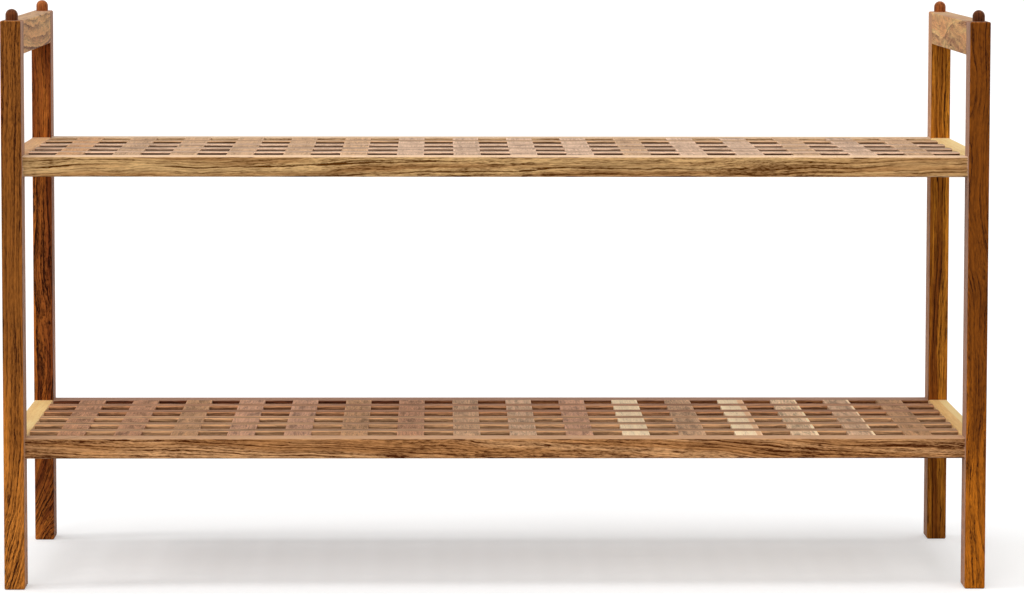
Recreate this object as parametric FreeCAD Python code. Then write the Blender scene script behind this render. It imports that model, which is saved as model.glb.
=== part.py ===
import FreeCAD, Part
import os

# Stackable shoe rack in solid wood: two end frames, two lattice shelves and domed stacking pins.
# Millimetres, +X to the right, +Y to the back, +Z up.
# The origin is on the floor, midway between the four feet.

# Legs
rack_width = 864.0              # over the outer faces of the legs
rack_depth = 320.0              # over the front and back faces of the legs
leg_height = 500.0              # floor to the flat top of a leg
leg_width = 18.0
leg_depth = 30.0
leg_edge_radius = 1.5

# Stacking pins in the leg tops, and the sockets in the feet that take the pins of a rack below
pin_diameter = 11.0             # of the head, which stands on the leg top
pin_straight = 5.0              # straight part of the head
pin_dome_height = 5.0
pin_shank_diameter = 10.0       # glued into the leg
pin_embed = 14.0
pin_glue_gap = 0.05             # radial
socket_clearance = 0.25         # radial
socket_spare_depth = 2.0        # left above the dome when racks are stacked

# Handle rails between the tops of the legs
handle_rail_height = 30.0

# Shelves
lower_shelf_underside = 115.0
shelf_pitch = 248.5             # from one shelf to the next
shelf_thickness = 18.0
rail_width = 22.0               # front and rear rails, front to back
rail_set_back = 8.0             # from the outer face of the legs
rail_edge_radius = 1.5

# Lattice slats, let into each other flush
lower_long_slat_count = 5       # side to side, on top at each crossing
upper_long_slat_count = 4
long_slat_width = 18.0
cross_slat_count = 16           # front to back, underneath at each crossing
cross_slat_width = 24.0
slat_edge_radius = 0.6
lap_depth = 9.0                 # how deep a long slat lies in a cross slat
lap_clearance = 0.1             # each side
tenon_length = 6.0              # stub tenons on the slat ends
tenon_height = 8.0
tenon_shoulder = 4.0            # each side
tenon_clearance = 0.1           # each side
tenon_end_gap = 0.5

# Dowels that hold the rails to the legs
dowel_diameter = 6.0
dowel_length = 30.0
dowel_in_leg = 10.0
dowel_glue_gap = 0.05           # radial
dowel_end_gap = 0.5             # each end
dowel_pair_spacing = 8.0        # between the two dowels of a pair
dowel_line_gap = 8.0            # end rail dowels pass this far below the front and rear rail dowels

# Places worked out from the sizes above
half_width = rack_width / 2
half_depth = rack_depth / 2
inner_half_width = half_width - leg_width
inner_half_depth = half_depth - leg_depth
rail_outer_face = half_depth - rail_set_back
lattice_half_depth = rail_outer_face - rail_width
leg_x = half_width - leg_width / 2
leg_y = half_depth - leg_depth / 2
handle_rail_underside = leg_height - handle_rail_height
pin_foot = leg_height - pin_embed
socket_depth = pin_straight + pin_dome_height + socket_spare_depth
mortise_depth = tenon_length + tenon_end_gap

X_AXIS, Y_AXIS = 0, 1
SIDES = {"left": -1, "right": 1}
FACES = {"front": -1, "rear": 1}
SHELVES = {"lower": lower_shelf_underside, "upper": lower_shelf_underside + shelf_pitch}
LONG_SLAT_COUNTS = {"lower": lower_long_slat_count, "upper": upper_long_slat_count}


def vector(x, y, z):
    return FreeCAD.Vector(x, y, z)


def block(x_range, y_range, z_range):
    """A box between pairs of limits, which may be given in either order."""
    low = [min(limits) for limits in (x_range, y_range, z_range)]
    high = [max(limits) for limits in (x_range, y_range, z_range)]
    return Part.makeBox(high[0] - low[0], high[1] - low[1], high[2] - low[2], vector(*low))


def eased(bar, radius, axis):
    """Round the four edges of a box that run along one axis."""
    edges = [edge for edge in bar.Edges if abs(edge.tangentAt(edge.FirstParameter)[axis]) > 0.5]
    return bar.makeFillet(radius, edges)


def even_centres(span, count, width):
    """Centres of equal slats across a span, with equal openings between them and at both ends."""
    opening = (span - count * width) / (count + 1)
    first = -span / 2 + opening + width / 2
    return [first + i * (opening + width) for i in range(count)]


LONG_SLAT_Y = {shelf: even_centres(2 * lattice_half_depth, count, long_slat_width)
               for shelf, count in LONG_SLAT_COUNTS.items()}
CROSS_SLAT_X = even_centres(2 * inner_half_width, cross_slat_count, cross_slat_width)


# Dowels and their holes

def dowel_joint(mouth, into_rail):
    """A dowel whose joint line is at mouth, and the hole for it in the leg and the rail."""
    foot = mouth - into_rail * dowel_in_leg
    dowel = Part.makeCylinder(dowel_diameter / 2, dowel_length, foot, into_rail)
    hole_foot = foot - into_rail * dowel_end_gap
    hole_length = dowel_length + 2 * dowel_end_gap
    hole = Part.makeCylinder(dowel_diameter / 2 + dowel_glue_gap, hole_length, hole_foot, into_rail)
    return dowel, hole


def dowel_mouths():
    """Where each dowel crosses from a leg into a rail, and the way into the rail."""
    pair = (-dowel_pair_spacing / 2, dowel_pair_spacing / 2)
    # Front and rear rails: beside the mortises of the cross slats
    rail_line = rail_outer_face - (rail_width - mortise_depth) / 2
    # End rails: beside the mortises of the long slats
    end_line = half_width - (leg_width - mortise_depth) / 2
    # Handle rails: between the rail's underside and the foot of the stacking pin
    handle_line = (handle_rail_underside + pin_foot) / 2
    for side in SIDES.values():
        for face in FACES.values():
            for underside in SHELVES.values():
                middle = underside + shelf_thickness / 2
                for offset in pair:
                    upper_line = middle + dowel_line_gap / 2
                    mouth = vector(side * inner_half_width, face * rail_line + offset, upper_line)
                    yield mouth, vector(-side, 0, 0)
                lower_line = middle - dowel_line_gap / 2
                mouth = vector(side * end_line, face * inner_half_depth, lower_line)
                yield mouth, vector(0, -face, 0)
            for offset in pair:
                mouth = vector(side * leg_x + offset, face * inner_half_depth, handle_line)
                yield mouth, vector(0, -face, 0)


DOWELS, DOWEL_HOLES = zip(*[dowel_joint(mouth, way) for mouth, way in dowel_mouths()])


def drilled(piece, other_cuts=()):
    """Cut the dowel holes that reach a piece, and any other cuts it has."""
    holes = [hole for hole in DOWEL_HOLES if hole.BoundBox.intersect(piece.BoundBox)]
    return piece.cut(holes + list(other_cuts))


# End frames

def leg(side, face):
    bar = block((side * inner_half_width, side * half_width),
                (face * inner_half_depth, face * half_depth),
                (0, leg_height))
    bar = bar.makeFillet(leg_edge_radius, bar.Edges)
    x, y = side * leg_x, face * leg_y
    hole_radius = pin_shank_diameter / 2 + pin_glue_gap
    pin_hole = Part.makeCylinder(hole_radius, pin_embed, vector(x, y, pin_foot))
    socket = Part.makeCylinder(pin_diameter / 2 + socket_clearance, socket_depth, vector(x, y, 0))
    return drilled(bar, [pin_hole, socket])


def stacking_pin(side, face):
    """A turned pin: a shank in the leg, and a head that ends in a spherical cap."""
    x, y = side * leg_x, face * leg_y
    radius = pin_diameter / 2
    shoulder = leg_height + pin_straight
    shank = Part.makeCylinder(pin_shank_diameter / 2, pin_embed, vector(x, y, pin_foot))
    head = Part.makeCylinder(radius, pin_straight, vector(x, y, leg_height))
    ball_radius = (radius ** 2 + pin_dome_height ** 2) / (2 * pin_dome_height)
    ball = Part.makeSphere(ball_radius, vector(x, y, shoulder + pin_dome_height - ball_radius))
    dome = ball.common(Part.makeCylinder(radius, pin_dome_height, vector(x, y, shoulder)))
    return shank.fuse([head, dome])


def handle_rail(side):
    bar = block((side * inner_half_width, side * half_width),
                (-inner_half_depth, inner_half_depth),
                (handle_rail_underside, leg_height))
    return drilled(eased(bar, rail_edge_radius, Y_AXIS))


# Shelves

def tenon_heights(underside, clearance):
    middle = underside + shelf_thickness / 2
    reach = tenon_height / 2 + clearance
    return middle - reach, middle + reach


def cross_tenon(x, face, underside, clearance=0.0, length=tenon_length):
    """The stub tenon on one end of a cross slat, or its mortise when there is a clearance."""
    reach = cross_slat_width / 2 - tenon_shoulder + clearance
    y_range = (face * lattice_half_depth, face * (lattice_half_depth + length))
    return block((x - reach, x + reach), y_range, tenon_heights(underside, clearance))


def long_tenon(y, side, underside, clearance=0.0, length=tenon_length):
    """The stub tenon on one end of a long slat, or its mortise when there is a clearance."""
    reach = long_slat_width / 2 - tenon_shoulder + clearance
    x_range = (side * inner_half_width, side * (inner_half_width + length))
    return block(x_range, (y - reach, y + reach), tenon_heights(underside, clearance))


def shelf_rail(face, underside):
    bar = block((-inner_half_width, inner_half_width),
                (face * lattice_half_depth, face * rail_outer_face),
                (underside, underside + shelf_thickness))
    mortises = [cross_tenon(x, face, underside, tenon_clearance, mortise_depth) for x in CROSS_SLAT_X]
    return drilled(eased(bar, rail_edge_radius, X_AXIS), mortises)


def end_rail(side, underside, long_slat_y):
    bar = block((side * inner_half_width, side * half_width),
                (-inner_half_depth, inner_half_depth),
                (underside, underside + shelf_thickness))
    mortises = [long_tenon(y, side, underside, tenon_clearance, mortise_depth) for y in long_slat_y]
    return drilled(eased(bar, rail_edge_radius, Y_AXIS), mortises)


def long_slat(y, underside):
    half = long_slat_width / 2
    bar = block((-inner_half_width, inner_half_width),
                (y - half, y + half),
                (underside, underside + shelf_thickness))
    bar = eased(bar, slat_edge_radius, X_AXIS)
    bar = bar.fuse([long_tenon(y, side, underside) for side in SIDES.values()])
    notch_half = cross_slat_width / 2 + lap_clearance
    lap = underside + shelf_thickness - lap_depth
    notches = [block((x - notch_half, x + notch_half), (y - half, y + half), (underside, lap))
               for x in CROSS_SLAT_X]
    return bar.cut(notches)


def cross_slat(x, underside, long_slat_y):
    half = cross_slat_width / 2
    bar = block((x - half, x + half),
                (-lattice_half_depth, lattice_half_depth),
                (underside, underside + shelf_thickness))
    bar = eased(bar, slat_edge_radius, Y_AXIS)
    bar = bar.fuse([cross_tenon(x, face, underside) for face in FACES.values()])
    notch_half = long_slat_width / 2 + lap_clearance
    top = underside + shelf_thickness
    notches = [block((x - half, x + half), (y - notch_half, y + notch_half), (top - lap_depth, top))
               for y in long_slat_y]
    return bar.cut(notches)


# Every piece by name
pieces = {"joint_dowels": Part.makeCompound(list(DOWELS))}
for face_name, face in FACES.items():
    pins = [stacking_pin(side, face) for side in SIDES.values()]
    pieces["stacking_pins_" + face_name] = Part.makeCompound(pins)
    for side_name, side in SIDES.items():
        pieces["leg_" + face_name + "_" + side_name] = leg(side, face)
for side_name, side in SIDES.items():
    pieces["handle_rail_" + side_name] = handle_rail(side)
for shelf, underside in SHELVES.items():
    for face_name, face in FACES.items():
        pieces[shelf + "_" + face_name + "_rail"] = shelf_rail(face, underside)
    for side_name, side in SIDES.items():
        pieces[shelf + "_" + side_name + "_end_rail"] = end_rail(side, underside, LONG_SLAT_Y[shelf])
    for number, y in enumerate(LONG_SLAT_Y[shelf], 1):
        pieces["%s_long_slat_%d" % (shelf, number)] = long_slat(y, underside)
    for number, x in enumerate(CROSS_SLAT_X, 1):
        pieces["%s_cross_slat_%02d" % (shelf, number)] = cross_slat(x, underside, LONG_SLAT_Y[shelf])

os.makedirs("parts", exist_ok=True)
for name, shape in pieces.items():
    shape.exportStep("parts/" + name + ".step")
print(len(pieces), "nodes,", sum(len(shape.Solids) for shape in pieces.values()), "solids")
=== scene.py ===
import math
import random
import bpy
from mathutils import Euler, Matrix, Vector


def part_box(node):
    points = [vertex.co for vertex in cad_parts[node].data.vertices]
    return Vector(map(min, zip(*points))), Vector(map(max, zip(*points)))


# Looks of the stackable shoe rack: oiled mixed hardwoods on a white floor, in soft studio light.
# Every piece keeps its own shape from the frame. The grain is solid, so it runs through all its faces.

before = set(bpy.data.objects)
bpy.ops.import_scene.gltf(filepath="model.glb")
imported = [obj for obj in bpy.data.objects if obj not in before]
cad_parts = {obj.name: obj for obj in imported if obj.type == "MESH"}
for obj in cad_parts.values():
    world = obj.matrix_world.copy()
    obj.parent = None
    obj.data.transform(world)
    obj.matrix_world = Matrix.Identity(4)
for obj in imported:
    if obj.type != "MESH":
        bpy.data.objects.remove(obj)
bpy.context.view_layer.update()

MM = 0.001

# Camera, in metres and degrees, in front of the rack and a little above it
CAMERA_PLACE = (-0.0528, -3.8854, 0.6169)
CAMERA_TURN = 1.026             # to the right
CAMERA_TILT = 4.82              # down
CAMERA_ROLL = 0.10
CAMERA_LENS = 150.2
CAMERA_SHIFT_Y = -0.0488

# Light
SKY_LEVEL = 0.38
LAMPS = {                       # where each shines from, its level, and degrees across for soft shadows
    "overhead": ((-0.05, -0.02, 1.0), 1.5, 40.0),
    "front": ((-0.15, -1.30, 0.7), 1.25, 40.0),
    "left": ((-1.20, -0.24, 1.0), 0.55, 12.0),
}
FLOOR_SIZE = 80.0
FLOOR_DROP = 0.0002             # below the feet, so that no two faces coincide
FLOOR_BOUNCE = 0.55             # what the rack receives from the floor
FLOOR_SEEN = 0.65               # the part of the floor's colour that takes shadow
FLOOR_LIFT = 0.41               # the part that doesn't

random.seed(11)


def srgb(red, green, blue):
    """A colour given as it looks on screen, 0 to 255, as a linear colour with alpha."""
    def linear(value):
        value /= 255
        return value / 12.92 if value <= 0.04045 else ((value + 0.055) / 1.055) ** 2.4
    return (linear(red), linear(green), linear(blue), 1.0)


NOISE_MIDDLE = 0.5              # the level about which noise varies


class Nodes:
    """Adds nodes to one tree. A value is a socket to link or a constant to set."""

    def __init__(self, tree):
        self.tree = tree

    def feed(self, socket, value):
        if isinstance(value, bpy.types.NodeSocket):
            self.tree.links.new(value, socket)
        else:
            socket.default_value = value

    def add(self, kind, inputs=None, **settings):
        node = self.tree.nodes.new(kind)
        for name, value in settings.items():
            setattr(node, name, value)
        for name, value in (inputs or {}).items():
            self.feed(node.inputs[name], value)
        return node

    def math(self, operation, *values, clamp=False):
        inputs = dict(enumerate(values))
        return self.add("ShaderNodeMath", inputs, operation=operation, use_clamp=clamp).outputs[0]

    def invert(self, value):
        return self.math("SUBTRACT", 1.0, value)

    def between(self, value, low, high):
        """low where the value is 0 and high where it is 1."""
        return self.math("MULTIPLY_ADD", value, high - low, low)

    def fade(self, value, start, end):
        """0 up to start and 1 from end on, with a smooth way between."""
        inputs = {"Value": value, "From Min": start, "From Max": end}
        return self.add("ShaderNodeMapRange", inputs, interpolation_type="SMOOTHSTEP").outputs[0]

    def vector(self, operation, *values):
        return self.add("ShaderNodeVectorMath", dict(enumerate(values)), operation=operation).outputs[0]

    def scale(self, vector, factor):
        return self.add("ShaderNodeVectorMath", {0: vector, "Scale": factor}, operation="SCALE").outputs[0]

    def length(self, vector):
        return self.add("ShaderNodeVectorMath", {0: vector}, operation="LENGTH").outputs["Value"]

    def split(self, vector):
        return self.add("ShaderNodeSeparateXYZ", {0: vector}).outputs

    def mix(self, factor, first, second):
        return self.add("ShaderNodeMix", {0: factor, 6: first, 7: second}, data_type="RGBA").outputs[2]

    def noise(self, place, sizes, detail=2.0, roughness=0.5):
        """Noise whose lumps have the given sizes along the three axes: a value and a colour."""
        scaled = self.vector("DIVIDE", place, sizes)
        inputs = {"Vector": scaled, "Scale": 1.0, "Detail": detail, "Roughness": roughness}
        return self.add("ShaderNodeTexNoise", inputs, noise_dimensions="3D").outputs

    def wander(self, place, sizes, detail=2.0):
        """A noise vector that is about zero on the whole."""
        return self.vector("SUBTRACT", self.noise(place, sizes, detail)[1], (NOISE_MIDDLE,) * 3)


# Wood

WOOD_INPUTS = {
    "Place": "Vector",          # millimetres from the middle of the piece: along the grain, across, through
    "Half Size": "Vector",      # of the piece, in the same order
    "Seed": "Vector",           # a place in the tree of its own
    "Pith": "Vector",           # where the middle of the tree lies, in the same order
    "Slope": "Vector",          # how far the grain runs across and through for each millimetre along
    "Foot Swing": "Float",      # how fast it turns aside near the foot of a leg
    "Bend": "Float",            # how far it wanders over the length of the piece
    "Wave": "Float",            # how strong its small waves are
    "Ring": "Float",            # width of a growth ring
    "Light": "Color",
    "Other": "Color",           # a second tone, in broad streaks
    "Dark": "Color",
    "Figure": "Float",          # how strong the rings are
    "Fleck": "Float",           # how strong the long strokes are
    "Dash": "Float",            # how strong the short strokes are
    "Blotch": "Float",          # how strong the darker patches are
    "Blotch Size": "Vector",
    "Other Share": "Float",     # how much of the second tone there is: 0 is half
    "Other Lean": "Float",      # how much more there is at the far end than at the middle
    "Sap": "Color",             # sapwood at one edge of the board
    "Sap From": "Float",
    "Worn And Lit": "Color",            # where hands and shoes rub; also the tone of painted highlights on edges and of painted light on upper faces
    "Edge Wear And Highlight": "Float",       # how much the edges are worn, partly a painted highlight of rounded edges catching light
    "Wear And Highlight Reach": "Float",      # how far in from an edge
    "Top Painted Light": "Float",        # how much the upper faces take the worn and lit tone: painted light on faces lit from above
    "Side Shade Tone": "Color",       # painted shade on the two sides inside the lattice, where its openings lie in shade
    "Side Shade From": "Float",       # how far from the top it begins
    "Side Shade Share": "Float",
}
WOOD_OUTPUTS = {"Color": "Color", "Roughness": "Float", "Height": "Float"}

LUMPS = {                       # sizes of the noise in millimetres: along the grain, across and through it
    "wide_wander": (210.0, 60.0, 60.0),
    "small_wander": (60.0, 12.0, 12.0),
    "tremor": (13.0, 4.0, 4.0),
    "ring_breaks": (110.0, 5.0, 5.0),
    "dash": (5.0, 0.9, 0.9),
    "stroke": (30.0, 1.0, 1.0),
    "long_stroke": (90.0, 1.8, 1.8),
    "busy": (140.0, 13.0, 13.0),
    "pores": (15.0, 0.7, 0.7),
    "streaks": (330.0, 8.0, 8.0),
    "shade_line": (30.0, 6.0, 6.0),
}
MARKS = {                       # detail and roughness of the noise, and the levels a mark fades between
    "ring_breaks": (1.0, 0.5, 0.30, 0.56),
    "dash": (2.0, 0.65, 0.44, 0.60),
    "stroke": (0.0, 0.5, 0.46, 0.58),
    "long_stroke": (0.0, 0.5, 0.48, 0.62),
    "busy": (1.0, 0.5, 0.30, 0.68),
    "pores": (1.0, 0.5, 0.54, 0.68),
    "blotch": (2.0, 0.6, 0.44, 0.72),
}
SMALL_REACH = (0.0, 4.0, 4.0)   # millimetres that the small waves and the tremor move the grain
TREMOR_REACH = (0.0, 1.6, 1.6)
TREMOR_DETAIL = 1.0
FOOT_FROM = 130.0               # below the middle of a leg, where its grain may begin to swing
RING_NOISE = 0.09               # scale and strength of the differences in width between rings
RING_UNEVENNESS = 3.0
RING_FALL = 1.8                 # how fast a ring turns paler
FAINTEST_RING = 0.3
BROKEN_RING = 0.15              # what is left of a ring where it breaks off
QUIET_STROKES = 0.45            # strength of strokes where the wood isn't busy
LONG_STROKE_SHARE = 0.4
PORES_LATE, PORES_EARLY = 0.35, 1.15    # strength of pores in the pale and the dark part of a ring
PORE_SHADE = 0.45
STREAK_REACH = 2.4              # how far streaks shift the share of the second tone
OTHER_FADE = 0.4                # how softly the two tones meet
SAP_WAVE = 6.0                  # millimetres that the edge of sapwood sways
SAP_FADE = 1.2                  # millimetres over which it begins
SAP_SHADE = 0.25                # strength of strokes in it
WEAR_AND_HIGHLIGHT_FULL = 0.2                 # millimetres from an edge that are worn and painted paler most
WEAR_AND_HIGHLIGHT_FRAY = 0.8                 # millimetres by which strokes hold the wear and the painted highlight back
UPWARD_FROM, UPWARD_FULL = 0.3, 0.8     # how far a face looks up to count as an upper face
SIDE_FULL, SIDE_END = 0.1, 0.5  # millimetres from a side that count as that side
SIDE_FADE = 0.5                 # millimetres over which the painted shade of a side begins
SHADE_LINE_SHALLOW, SHADE_LINE_DEEP = 0.2, 1.8      # how uneven the line is where the painted shade begins
BASE_ROUGHNESS = 0.52
SHADE_ROUGHNESS = 0.14          # what dark marks add
WEAR_POLISH = 0.06              # what wear takes away
PORE_DEPTH = 0.14               # depths in millimetres
STROKE_DEPTH = 0.05
RING_DEPTH = 0.05


def wood_group():
    """The node group that every wooden piece shares."""
    group = bpy.data.node_groups.new("oiled_wood", "ShaderNodeTree")
    for name, kind in WOOD_INPUTS.items():
        group.interface.new_socket(name, in_out="INPUT", socket_type="NodeSocket" + kind)
    for name, kind in WOOD_OUTPUTS.items():
        group.interface.new_socket(name, in_out="OUTPUT", socket_type="NodeSocket" + kind)
    n = Nodes(group)
    given = n.add("NodeGroupInput").outputs
    place = given["Place"]
    seeded = n.vector("ADD", place, given["Seed"])
    along, across, _ = n.split(place)

    def mark(name, where, sizes=None):
        """1 in the marks of one kind and 0 outside them."""
        detail, roughness, start, end = MARKS[name]
        if sizes is None:
            sizes = LUMPS[name]
        return n.fade(n.noise(where, sizes, detail, roughness)[0], start, end)

    # The grain leans and wanders along the piece
    bend = n.scale(n.wander(seeded, LUMPS["wide_wander"]), given["Bend"])
    small_wave = n.vector("MULTIPLY", n.wander(seeded, LUMPS["small_wander"]), SMALL_REACH)
    tremor = n.vector("MULTIPLY", n.wander(seeded, LUMPS["tremor"], TREMOR_DETAIL), TREMOR_REACH)
    ripple = n.scale(n.vector("ADD", small_wave, tremor), given["Wave"])
    below = n.math("MAXIMUM", n.math("SUBTRACT", -FOOT_FROM, along), 0.0)
    swing = n.math("MULTIPLY", n.math("MULTIPLY", below, below), given["Foot Swing"])
    swing = n.add("ShaderNodeCombineXYZ", {"Z": swing}).outputs[0]
    lean = n.vector("ADD", n.scale(given["Slope"], along), swing)
    fibre_place = n.vector("ADD", n.vector("ADD", place, bend), n.vector("ADD", ripple, lean))
    grain_place = n.vector("ADD", fibre_place, given["Seed"])

    # Growth rings round the pith, each dark where it begins
    from_pith = n.vector("MULTIPLY", n.vector("SUBTRACT", fibre_place, given["Pith"]), (0.0, 1.0, 1.0))
    radius = n.length(from_pith)
    uneven = n.add("ShaderNodeTexNoise", {"W": radius, "Scale": RING_NOISE}, noise_dimensions="1D").outputs[0]
    uneven = n.math("MULTIPLY", uneven, RING_UNEVENNESS)
    phase = n.math("ADD", n.math("DIVIDE", radius, given["Ring"]), uneven)
    ring_number = n.math("FLOOR", phase)
    ring_weight = n.add("ShaderNodeTexWhiteNoise", {"W": ring_number}, noise_dimensions="1D").outputs[0]
    ring_weight = n.between(ring_weight, FAINTEST_RING, 1.0)
    ring_weight = n.math("MULTIPLY", ring_weight, mark("ring_breaks", grain_place))
    early_wood = n.math("POWER", n.invert(n.math("FRACT", phase)), RING_FALL)
    early_wood = n.math("MULTIPLY", early_wood, n.between(ring_weight, BROKEN_RING, 1.0))

    # Strokes and pores, drawn out along the grain, stronger in some places than in others
    busy = n.between(mark("busy", seeded), QUIET_STROKES, 1.0)
    dash = n.math("MULTIPLY", mark("dash", grain_place), busy)
    stroke = mark("stroke", grain_place)
    busy_stroke = n.math("MULTIPLY", stroke, n.math("MULTIPLY", busy, 1.0 - LONG_STROKE_SHARE))
    strokes = n.math("MULTIPLY_ADD", mark("long_stroke", grain_place), LONG_STROKE_SHARE, busy_stroke)
    pores = n.between(early_wood, PORES_LATE, PORES_EARLY)
    pores = n.math("MULTIPLY", mark("pores", grain_place), pores)
    blotch = mark("blotch", grain_place, given["Blotch Size"])
    shade = n.math("MULTIPLY", strokes, given["Fleck"])
    shade = n.math("MULTIPLY_ADD", blotch, given["Blotch"], shade)
    shade = n.math("MULTIPLY_ADD", dash, given["Dash"], shade)
    shade = n.math("MULTIPLY_ADD", early_wood, given["Figure"], shade)
    shade = n.math("MULTIPLY_ADD", pores, PORE_SHADE, shade, clamp=True)

    # Broad streaks of a second tone, then the strokes
    streaks = n.math("SUBTRACT", n.noise(grain_place, LUMPS["streaks"])[0], NOISE_MIDDLE)
    end_part = n.math("DIVIDE", along, n.split(given["Half Size"])[0])
    other = n.math("MULTIPLY_ADD", end_part, given["Other Lean"], given["Other Share"])
    other = n.fade(n.math("MULTIPLY_ADD", streaks, STREAK_REACH, other), -OTHER_FADE, OTHER_FADE)
    color = n.mix(shade, n.mix(other, given["Light"], given["Other"]), given["Dark"])

    # Sapwood along one edge
    sap_place = n.math("MULTIPLY_ADD", streaks, SAP_WAVE, across)
    sap_part = n.fade(sap_place, given["Sap From"], n.math("ADD", given["Sap From"], SAP_FADE))
    sap_color = n.mix(n.math("MULTIPLY", shade, SAP_SHADE), given["Sap"], given["Dark"])
    color = n.mix(sap_part, color, sap_color)

    # Edges rubbed paler and smoother, near two faces at once; the paler colour is partly a painted highlight
    # of rounded edges
    reach = n.vector("SUBTRACT", given["Half Size"], n.vector("ABSOLUTE", place))
    end_reach, side_reach, face_reach = n.split(reach)
    nearer = n.math("MINIMUM", side_reach, face_reach)
    farther = n.math("MAXIMUM", side_reach, face_reach)
    edge_reach = n.math("MAXIMUM", nearer, n.math("MINIMUM", farther, end_reach))
    edge_reach = n.math("MULTIPLY_ADD", stroke, WEAR_AND_HIGHLIGHT_FRAY, edge_reach)
    wear_and_highlight = n.invert(n.fade(edge_reach, WEAR_AND_HIGHLIGHT_FULL, given["Wear And Highlight Reach"]))
    color = n.mix(n.math("MULTIPLY", wear_and_highlight, given["Edge Wear And Highlight"]), color, given["Worn And Lit"])

    # Upper faces given painted light: the worn and lit tone where the light falls from above
    facing = n.add("ShaderNodeNewGeometry").outputs["Normal"]
    upward = n.fade(n.split(facing)[2], UPWARD_FROM, UPWARD_FULL)
    color = n.mix(n.math("MULTIPLY", upward, given["Top Painted Light"]), color, given["Worn And Lit"])

    # Painted shade: sides darker below an uneven line, standing in for the shade inside the lattice openings
    painted_side_shade = n.invert(n.fade(side_reach, SIDE_FULL, SIDE_END))
    shade_line = n.between(n.noise(seeded, LUMPS["shade_line"])[0], SHADE_LINE_SHALLOW, SHADE_LINE_DEEP)
    shade_reach = n.math("MULTIPLY", face_reach, shade_line)
    side_shade_deep = n.fade(shade_reach, given["Side Shade From"], n.math("ADD", given["Side Shade From"], SIDE_FADE))
    painted_side_shade = n.math("MULTIPLY", painted_side_shade, side_shade_deep)
    color = n.mix(n.math("MULTIPLY", painted_side_shade, given["Side Shade Share"]), color, given["Side Shade Tone"])

    rough = n.math("MULTIPLY_ADD", shade, SHADE_ROUGHNESS, BASE_ROUGHNESS)
    rough = n.math("MULTIPLY_ADD", wear_and_highlight, -WEAR_POLISH, rough, clamp=True)
    height = n.math("MULTIPLY_ADD", pores, -PORE_DEPTH, n.math("MULTIPLY", stroke, -STROKE_DEPTH))
    height = n.math("MULTIPLY_ADD", early_wood, -RING_DEPTH, height)
    n.add("NodeGroupOutput", {"Color": color, "Roughness": rough, "Height": height})
    return group


WOOD = wood_group()


# Tones of the woods

def wood_tones(light, other, dark):
    return {"Light": srgb(*light), "Other": srgb(*other), "Dark": srgb(*dark)}


def whole_tones(color, levels):
    """The tones of a wood from the colour it has as a whole."""
    whole = Vector(srgb(*color)[:3])
    return {name: list(whole * level) + [1.0] for name, level in levels.items()}


RED_BROWN = wood_tones((219, 134, 51), (160, 95, 34), (56, 20, 0))
CHESTNUT = wood_tones((202, 115, 23), (137, 73, 11), (50, 16, 0))
DARK_RED = wood_tones((214, 124, 48), (148, 75, 30), (46, 13, 0))
GOLDEN = wood_tones((226, 144, 42), (148, 80, 20), (54, 18, 0))
PIN_DARK = wood_tones((124, 68, 34), (104, 54, 24), (58, 26, 10))
PIN_ORANGE = wood_tones((188, 108, 54), (160, 86, 38), (98, 48, 18))
TAN = wood_tones((240, 190, 126), (216, 156, 92), (130, 76, 36))
WHEAT = wood_tones((255, 202, 122), (244, 178, 100), (96, 50, 16))
APRICOT = wood_tones((255, 216, 132), (250, 178, 100), (110, 56, 18))
OLIVE = wood_tones((236, 191, 130), (198, 147, 92), (84, 46, 6))
STRAW = wood_tones((250, 212, 164), (224, 182, 134), (124, 84, 48))
BROWN = wood_tones((240, 182, 125), (204, 143, 87), (72, 31, 2))
UMBER = wood_tones((120, 66, 40), (164, 108, 66), (64, 30, 12))
YELLOW = wood_tones((255, 226, 150), (252, 210, 126), (216, 162, 84))
HONEY = wood_tones((255, 208, 120), (242, 190, 100), (204, 146, 68))
PLAIN_LEVELS = {"Light": 1.3, "Other": 1.1, "Dark": 0.38}
BEECH = whole_tones((214, 172, 126), PLAIN_LEVELS)
MAPLE = whole_tones((234, 204, 164), PLAIN_LEVELS)
# painted shade for the walls inside the lattice openings
LATTICE_WALL_SHADE = srgb(58, 23, 4)

# Turns that bring the grain of a piece onto the X axis
GRAIN_TURN = {
    "X": Euler((0.0, 0.0, 0.0)),
    "Y": Euler((0.0, 0.0, math.radians(90.0))),
    "Z": Euler((0.0, math.radians(90.0), 0.0)),
}
SEED_REACH = 4000.0             # millimetres, as in the next lines
PITH_ASIDE = 40.0
PITH_NEAR, PITH_FAR = 40.0, 90.0
NO_SAP = 1000.0                 # beyond the edge of any piece
SPECULAR_LEVEL = 0.05
SHEEN_ROUGHNESS = 0.4
SHEEN_TINT = (1.0, 0.68, 0.52, 1.0)
BUMP_STRENGTH = 0.6
USUAL_LOOK = {
    "Slope": (0.0, 0.0, 0.0),
    "Foot Swing": 0.0,
    "Bend": 12.0,
    "Wave": 1.0,
    "Ring": 4.2,
    "Figure": 0.7,
    "Fleck": 0.7,
    "Dash": 0.4,
    "Blotch": 0.2,
    "Blotch Size": (40.0, 9.0, 9.0),
    "Other Share": 0.0,
    "Other Lean": 0.0,
    "Sap": MAPLE["Light"],
    "Sap From": NO_SAP,
    "Edge Wear And Highlight": 0.3,
    "Wear And Highlight Reach": 1.4,
    "Top Painted Light": 0.0,
    "Side Shade Tone": LATTICE_WALL_SHADE,
    "Side Shade From": 0.0,
    "Side Shade Share": 0.0,
    "Sheen": 0.44,
}


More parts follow.
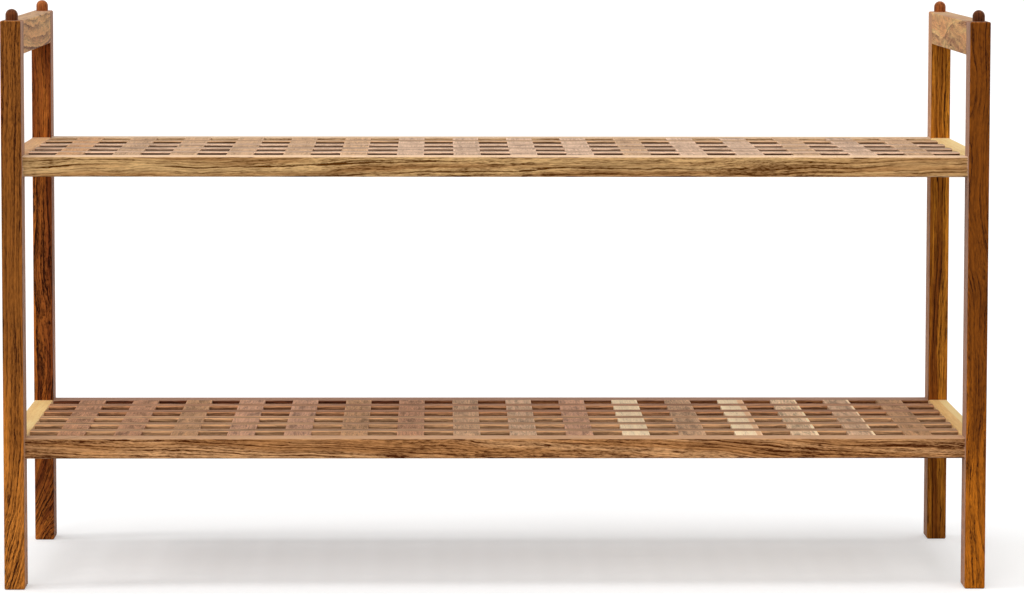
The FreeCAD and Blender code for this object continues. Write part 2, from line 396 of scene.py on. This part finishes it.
def wood_material(node_name, grain, look):
    """A material for one piece, with its own place in the tree and its own colours."""
    low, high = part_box(node_name)
    turn = GRAIN_TURN[grain]
    turned_middle = turn.to_matrix() @ ((low + high) / 2 / MM)
    turned_half = turn.to_matrix() @ ((high - low) / 2 / MM)
    material = bpy.data.materials.new(node_name + "_wood")
    material.use_nodes = True
    n = Nodes(material.node_tree)
    shader = material.node_tree.nodes["Principled BSDF"]
    place = n.add("ShaderNodeMapping", {
        "Vector": n.add("ShaderNodeTexCoord").outputs["Object"],
        "Location": -turned_middle,
        "Rotation": turn,
        "Scale": (1 / MM, 1 / MM, 1 / MM),
    }).outputs[0]
    seed = [random.uniform(-SEED_REACH, SEED_REACH) for axis in range(3)]
    pith_across = random.uniform(-PITH_ASIDE, PITH_ASIDE)
    pith_through = random.choice((-1, 1)) * random.uniform(PITH_NEAR, PITH_FAR)
    values = {
        "Place": place,
        "Half Size": [abs(value) for value in turned_half],
        "Seed": seed,
        "Pith": (0.0, pith_across, pith_through),
        "Worn And Lit": look["Light"],
        **USUAL_LOOK,
        **look,
    }
    shader.inputs["Specular IOR Level"].default_value = SPECULAR_LEVEL
    shader.inputs["Sheen Weight"].default_value = values.pop("Sheen")
    shader.inputs["Sheen Roughness"].default_value = SHEEN_ROUGHNESS
    shader.inputs["Sheen Tint"].default_value = SHEEN_TINT
    wood = n.add("ShaderNodeGroup", node_tree=WOOD)
    for name, value in values.items():
        n.feed(wood.inputs[name], value)
    bump = n.add("ShaderNodeBump", {
        "Height": wood.outputs["Height"],
        "Strength": BUMP_STRENGTH,
        "Distance": MM,
    })
    n.feed(shader.inputs["Base Color"], wood.outputs["Color"])
    n.feed(shader.inputs["Roughness"], wood.outputs["Roughness"])
    n.feed(shader.inputs["Normal"], bump.outputs[0])
    return material


def dress(node_name, grain, wood, look):
    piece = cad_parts[node_name]
    piece.data.materials.clear()
    piece.data.materials.append(wood_material(node_name, grain, {**wood, **look}))


# End frames
LEGS = {
    "leg_front_left": (RED_BROWN, {
        "Slope": (0.0, 0.0, 0.02), "Foot Swing": -0.0013, "Ring": 2.9, "Figure": 0.95, "Fleck": 0.35,
        "Dash": 0.4, "Blotch": 0.0, "Other Share": 0.8, "Other Lean": 1.8,
    }),
    "leg_front_right": (CHESTNUT, {
        "Slope": (0.0, 0.0, -0.03), "Bend": 45.0, "Ring": 3.4, "Figure": 0.7, "Fleck": 0.4,
        "Dash": 0.45, "Blotch": 0.1, "Other Share": 0.5, "Other Lean": 0.9,
    }),
    "leg_rear_left": (DARK_RED, {
        "Foot Swing": -0.003, "Bend": 30.0, "Ring": 3.2, "Figure": 1.05, "Fleck": 0.4,
        "Dash": 0.45, "Blotch": 0.0, "Other Lean": -0.05,
    }),
    "leg_rear_right": (GOLDEN, {
        "Ring": 3.4, "Figure": 0.7, "Fleck": 0.6, "Dash": 0.2, "Blotch": 0.0, "Other Lean": -0.3,
    }),
}
PIN_LOOK = {"Figure": 0.3}
# handles with painted light on their upper faces, in a duller tone than their wood
HANDLE_LOOK = {
    "Fleck": 0.25, "Dash": 0.25, "Sheen": 0.15,
    "Worn And Lit": srgb(158, 124, 98), "Edge Wear And Highlight": 0.4, "Top Painted Light": 0.75,
}
LEFT_HANDLE_LOOK = {**HANDLE_LOOK, "Bend": 26.0, "Wave": 1.6, "Ring": 6.0, "Figure": 0.95}
RIGHT_HANDLE_LOOK = {**HANDLE_LOOK, "Bend": 60.0, "Wave": 1.2, "Ring": 15.0, "Figure": 0.75}

for node_name, (wood, look) in LEGS.items():
    dress(node_name, "Z", wood, look)
dress("stacking_pins_front", "Z", PIN_DARK, PIN_LOOK)
dress("stacking_pins_rear", "Z", PIN_ORANGE, PIN_LOOK)
dress("handle_rail_left", "Y", WHEAT, LEFT_HANDLE_LOOK)
dress("handle_rail_right", "Y", APRICOT, RIGHT_HANDLE_LOOK)

# Rails of the shelves
# rails with painted light on their upper faces and a painted highlight on their edges
RAIL_LOOK = {
    "Ring": 3.4, "Figure": 1.0, "Fleck": 0.5, "Dash": 0.35, "Sheen": 0.06,
    "Edge Wear And Highlight": 0.7, "Top Painted Light": 0.85,
}
RAILS = {                       # wood, its worn and lit tone for wear and painted highlights, and what else is its own
    "upper_front_rail": (OLIVE, (236, 200, 164), {"Slope": (0.0, 0.0, -0.02), "Bend": 22.0}),
    "upper_rear_rail": (STRAW, (208, 178, 146), {}),
    "lower_front_rail": (BROWN, (204, 160, 122), {"Slope": (0.0, 0.0, 0.05), "Bend": 22.0}),
    "lower_rear_rail": (UMBER, (174, 134, 110), {"Other Lean": 0.7}),
}
END_RAIL_LOOK = {"Figure": 0.3, "Fleck": 0.3, "Dash": 0.2}
PALE_OUTSIDE = {"Sap": YELLOW["Light"], "Sap From": 0.0}
END_RAILS = {
    "lower_left_end_rail": (YELLOW, {}),
    "lower_right_end_rail": (HONEY, PALE_OUTSIDE),
    "upper_left_end_rail": (TAN, {}),
    "upper_right_end_rail": (YELLOW, PALE_OUTSIDE),
}

for node_name, (wood, worn_and_lit, look) in RAILS.items():
    dress(node_name, "X", wood, {**RAIL_LOOK, "Worn And Lit": srgb(*worn_and_lit), **look})
for node_name, (wood, look) in END_RAILS.items():
    dress(node_name, "Y", wood, {**END_RAIL_LOOK, **look})

# Slats of the shelves
SLAT_WOODS = {
    "brown": (186, 132, 92),
    "tan": (200, 148, 98),
    "amber": (206, 157, 113),
    "rose": (202, 150, 114),
    "dune": (198, 157, 117),
    "sand": (216, 170, 126),
    "linen": (206, 170, 140),
    "pale": (224, 182, 142),
    "blond": (238, 202, 160),
    "cream": (250, 224, 182),
}
LONG_SLATS = {                  # from the front
    "lower": ("amber", "amber", "amber", "brown", "brown"),
    "upper": ("linen", "linen", "linen", "dune"),
}
CROSS_SLATS = {                 # from the left
    "lower": (
        "brown", "brown", "tan", "rose", "rose", "tan", "brown", "sand",
        "pale", "rose", "cream", "sand", "cream", "blond", "pale", "tan",
    ),
    "upper": (
        "tan", "dune", "dune", "dune", "dune", "dune", "linen", "linen",
        "linen", "linen", "dune", "linen", "linen", "dune", "linen", "dune",
    ),
}
EDGE_STRIPS = {                 # slats with another wood at their right edge, and how far from their middle
    "lower_cross_slat_13": ("sand", 6.0),
    "lower_cross_slat_14": ("cream", 8.5),
    "lower_cross_slat_15": ("cream", 9.0),
}
SHELF_LOOKS = {
    # the lower shelf has its own browner tone of painted shade on its lattice walls
    "lower": {"Side Shade From": 1.9, "Side Shade Tone": srgb(62, 36, 20)},
    "upper": {"Side Shade From": 0.7, "Blotch Size": (18.0, 45.0, 20.0)},
}
WALL_SHADE_SHARES = {                 # how strong the painted shade on the sides of the long slats is, from the front
    "lower": (0.2, 0.5, 0.4, 0.55, 0.75),
    "upper": (0.9, 0.6, 0.75, 0.85),
}
SLAT_LOOK = {"Bend": 6.0, "Ring": 2.6, "Wear And Highlight Reach": 2.4, "Sheen": 0.06}
LONG_LOOK = {"Blotch": 0.5, "Blotch Size": (40.0, 9.0, 9.0), "Edge Wear And Highlight": 0.9}
# the cross slats carry a little painted shade on their sides too
CROSS_LOOK = {"Figure": 0.3, "Fleck": 0.4, "Dash": 0.4, "Blotch": 0.6, "Side Shade Share": 0.2}
CREAM_LOOK = {"Figure": 0.15, "Fleck": 0.15, "Dash": 0.1, "Blotch": 0.05}
# slats: worn edges with a painted highlight, in a tone paler than the wood
SLAT_LEVELS = {"Light": 1.28, "Other": 1.08, "Dark": 0.40, "Worn And Lit": 1.6}
SLAT_SPREAD = 0.05              # how much a slat's level differs from that of its wood


def dress_slat(node_name, grain, wood, look):
    look = {**SLAT_LOOK, **look}
    if wood == "cream":
        look.update(CREAM_LOOK)
    level = random.uniform(1.0 - SLAT_SPREAD, 1.0 + SLAT_SPREAD)
    tones = whole_tones([level * value for value in SLAT_WOODS[wood]], SLAT_LEVELS)
    if node_name in EDGE_STRIPS:
        strip_wood, strip_from = EDGE_STRIPS[node_name]
        look["Sap"] = whole_tones(SLAT_WOODS[strip_wood], SLAT_LEVELS)["Light"]
        look["Sap From"] = strip_from
    dress(node_name, grain, tones, look)


for shelf, look in SHELF_LOOKS.items():
    for number, (wood, wall_shade_share) in enumerate(zip(LONG_SLATS[shelf], WALL_SHADE_SHARES[shelf]), 1):
        long_look = {**look, **LONG_LOOK, "Side Shade Share": wall_shade_share}
        dress_slat("%s_long_slat_%d" % (shelf, number), "X", wood, long_look)
    for number, wood in enumerate(CROSS_SLATS[shelf], 1):
        dress_slat("%s_cross_slat_%02d" % (shelf, number), "Y", wood, {**look, **CROSS_LOOK})

# Dowels, hidden in the joints
dress("joint_dowels", "X", BEECH, {})


# Floor, light and camera

def seen_directly(n):
    """1 for rays that show the surroundings as they are: to the camera, by reflection or through glass."""
    rays = n.add("ShaderNodeLightPath").outputs
    seen = n.math("MAXIMUM", rays["Is Camera Ray"], rays["Is Glossy Ray"])
    return n.math("MAXIMUM", seen, rays["Is Transmission Ray"])


def grey(level):
    return (level, level, level, 1.0)


def make_floor():
    half = FLOOR_SIZE / 2
    corners = [(x, y, -FLOOR_DROP) for x, y in ((-half, -half), (half, -half), (half, half), (-half, half))]
    mesh = bpy.data.meshes.new("floor")
    mesh.from_pydata(corners, [], [(0, 1, 2, 3)])
    floor = bpy.data.objects.new("floor", mesh)
    bpy.context.scene.collection.objects.link(floor)
    material = bpy.data.materials.new("floor_white")
    material.use_nodes = True
    material.node_tree.nodes.clear()
    n = Nodes(material.node_tree)
    seen = seen_directly(n)
    paper = n.mix(seen, grey(FLOOR_BOUNCE), grey(FLOOR_SEEN))
    surface = n.add("ShaderNodeBsdfDiffuse", {"Color": paper})
    lift = n.add("ShaderNodeEmission", {"Strength": n.math("MULTIPLY", seen, FLOOR_LIFT)})
    both = n.add("ShaderNodeAddShader", {0: surface.outputs[0], 1: lift.outputs[0]})
    n.add("ShaderNodeOutputMaterial", {"Surface": both.outputs[0]})
    mesh.materials.append(material)


def make_light():
    world = bpy.data.worlds.new("studio")
    world.use_nodes = True
    n = Nodes(world.node_tree)
    background = world.node_tree.nodes["Background"]
    n.feed(background.inputs["Color"], grey(1.0))
    n.feed(background.inputs["Strength"], n.between(seen_directly(n), SKY_LEVEL, 1.0))
    bpy.context.scene.world = world
    for name, (shines_from, level, spread) in LAMPS.items():
        light = bpy.data.lights.new(name, "SUN")
        light.energy = level
        light.angle = math.radians(spread)
        lamp = bpy.data.objects.new(name, light)
        lamp.rotation_euler = Vector(shines_from).to_track_quat("Z", "Y").to_euler()
        bpy.context.scene.collection.objects.link(lamp)


def make_camera():
    data = bpy.data.cameras.new("camera")
    data.lens = CAMERA_LENS
    data.shift_y = CAMERA_SHIFT_Y
    camera = bpy.data.objects.new("camera", data)
    turn = Matrix.Rotation(math.radians(-CAMERA_TURN), 4, "Z")
    tilt = Matrix.Rotation(math.radians(90.0 - CAMERA_TILT), 4, "X")
    roll = Matrix.Rotation(math.radians(CAMERA_ROLL), 4, "Z")
    camera.matrix_world = Matrix.Translation(CAMERA_PLACE) @ turn @ tilt @ roll
    bpy.context.scene.collection.objects.link(camera)
    bpy.context.scene.camera = camera


make_floor()
make_light()
make_camera()
bpy.context.scene.view_settings.view_transform = "Standard"
